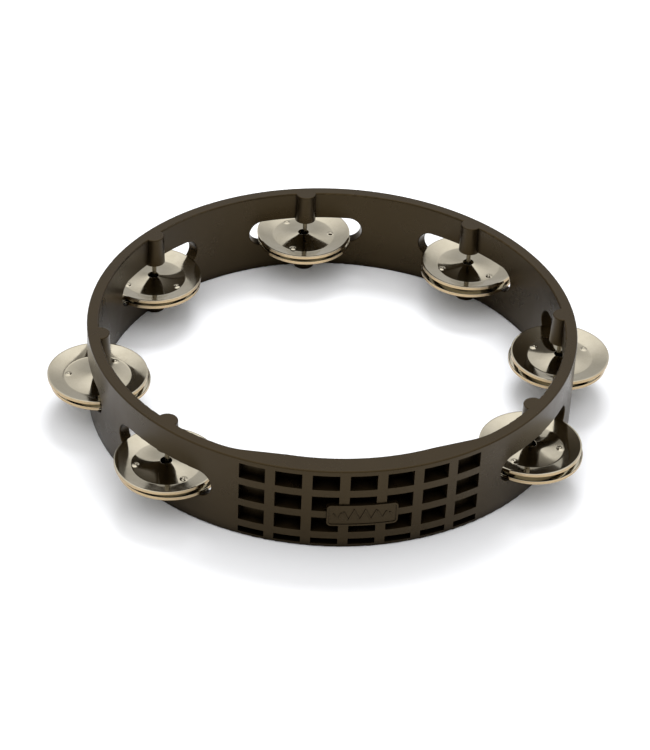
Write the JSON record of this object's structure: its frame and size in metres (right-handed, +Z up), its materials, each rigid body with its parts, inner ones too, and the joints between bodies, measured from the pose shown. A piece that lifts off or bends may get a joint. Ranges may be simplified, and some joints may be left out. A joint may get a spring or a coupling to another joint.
{
  "type": "tambourine",
  "caption": "Headless tambourine: a moulded hoop with a lattice grip, and pairs of pressed steel jingles that rattle on pins in its slots.",
  "frame": {"origin": "the hoop's axis on the plane that its lower rim rests on", "axes": "+Z up along the hoop's axis; -Y points from the axis to the middle of the grip; +X to the right of a player who faces the grip"},
  "size_m": [0.2955, 0.2752, 0.047],
  "materials": {
    "hoop_plastic": "moulded dark brown-black ABS, soft semi-gloss",
    "jingle_nickel": "bright nickel plate over pressed steel",
    "pin_steel": "plain drawn steel nail"
  },
  "bodies": {
    "hoop": {"hoop": "hoop_plastic", "jingle_pin_1": "pin_steel", "jingle_pin_2": "pin_steel", "jingle_pin_3": "pin_steel", "jingle_pin_4": "pin_steel", "jingle_pin_5": "pin_steel", "jingle_pin_6": "pin_steel", "jingle_pin_7": "pin_steel"},
    "lower_jingle_1": {"lower_jingle_1": "jingle_nickel"},
    "upper_jingle_1": {"upper_jingle_1": "jingle_nickel"},
    "lower_jingle_2": {"lower_jingle_2": "jingle_nickel"},
    "upper_jingle_2": {"upper_jingle_2": "jingle_nickel"},
    "lower_jingle_3": {"lower_jingle_3": "jingle_nickel"},
    "upper_jingle_3": {"upper_jingle_3": "jingle_nickel"},
    "lower_jingle_4": {"lower_jingle_4": "jingle_nickel"},
    "upper_jingle_4": {"upper_jingle_4": "jingle_nickel"},
    "lower_jingle_5": {"lower_jingle_5": "jingle_nickel"},
    "upper_jingle_5": {"upper_jingle_5": "jingle_nickel"},
    "lower_jingle_6": {"lower_jingle_6": "jingle_nickel"},
    "upper_jingle_6": {"upper_jingle_6": "jingle_nickel"},
    "lower_jingle_7": {"lower_jingle_7": "jingle_nickel"},
    "upper_jingle_7": {"upper_jingle_7": "jingle_nickel"}
  },
  "joints": [
    {"name": "lower_jingle_1_rattle", "type": "slide", "parent": "hoop", "child": "lower_jingle_1", "axis": [0, 0, 1], "range_m": [0, 0.00375]},
    {"name": "upper_jingle_1_rattle", "type": "slide", "parent": "lower_jingle_1", "child": "upper_jingle_1", "axis": [0, 0, 1], "range_m": [0, 0.00375]},
    {"name": "lower_jingle_2_rattle", "type": "slide", "parent": "hoop", "child": "lower_jingle_2", "axis": [0, 0, 1], "range_m": [0, 0.00375]},
    {"name": "upper_jingle_2_rattle", "type": "slide", "parent": "lower_jingle_2", "child": "upper_jingle_2", "axis": [0, 0, 1], "range_m": [0, 0.00375]},
    {"name": "lower_jingle_3_rattle", "type": "slide", "parent": "hoop", "child": "lower_jingle_3", "axis": [0, 0, 1], "range_m": [0, 0.00375]},
    {"name": "upper_jingle_3_rattle", "type": "slide", "parent": "lower_jingle_3", "child": "upper_jingle_3", "axis": [0, 0, 1], "range_m": [0, 0.00375]},
    {"name": "lower_jingle_4_rattle", "type": "slide", "parent": "hoop", "child": "lower_jingle_4", "axis": [0, 0, 1], "range_m": [0, 0.00375]},
    {"name": "upper_jingle_4_rattle", "type": "slide", "parent": "lower_jingle_4", "child": "upper_jingle_4", "axis": [0, 0, 1], "range_m": [0, 0.00375]},
    {"name": "lower_jingle_5_rattle", "type": "slide", "parent": "hoop", "child": "lower_jingle_5", "axis": [0, 0, 1], "range_m": [0, 0.00375]},
    {"name": "upper_jingle_5_rattle", "type": "slide", "parent": "lower_jingle_5", "child": "upper_jingle_5", "axis": [0, 0, 1], "range_m": [0, 0.00375]},
    {"name": "lower_jingle_6_rattle", "type": "slide", "parent": "hoop", "child": "lower_jingle_6", "axis": [0, 0, 1], "range_m": [0, 0.00375]},
    {"name": "upper_jingle_6_rattle", "type": "slide", "parent": "lower_jingle_6", "child": "upper_jingle_6", "axis": [0, 0, 1], "range_m": [0, 0.00375]},
    {"name": "lower_jingle_7_rattle", "type": "slide", "parent": "hoop", "child": "lower_jingle_7", "axis": [0, 0, 1], "range_m": [0, 0.00375]},
    {"name": "upper_jingle_7_rattle", "type": "slide", "parent": "lower_jingle_7", "child": "upper_jingle_7", "axis": [0, 0, 1], "range_m": [0, 0.00375]}
  ]
}
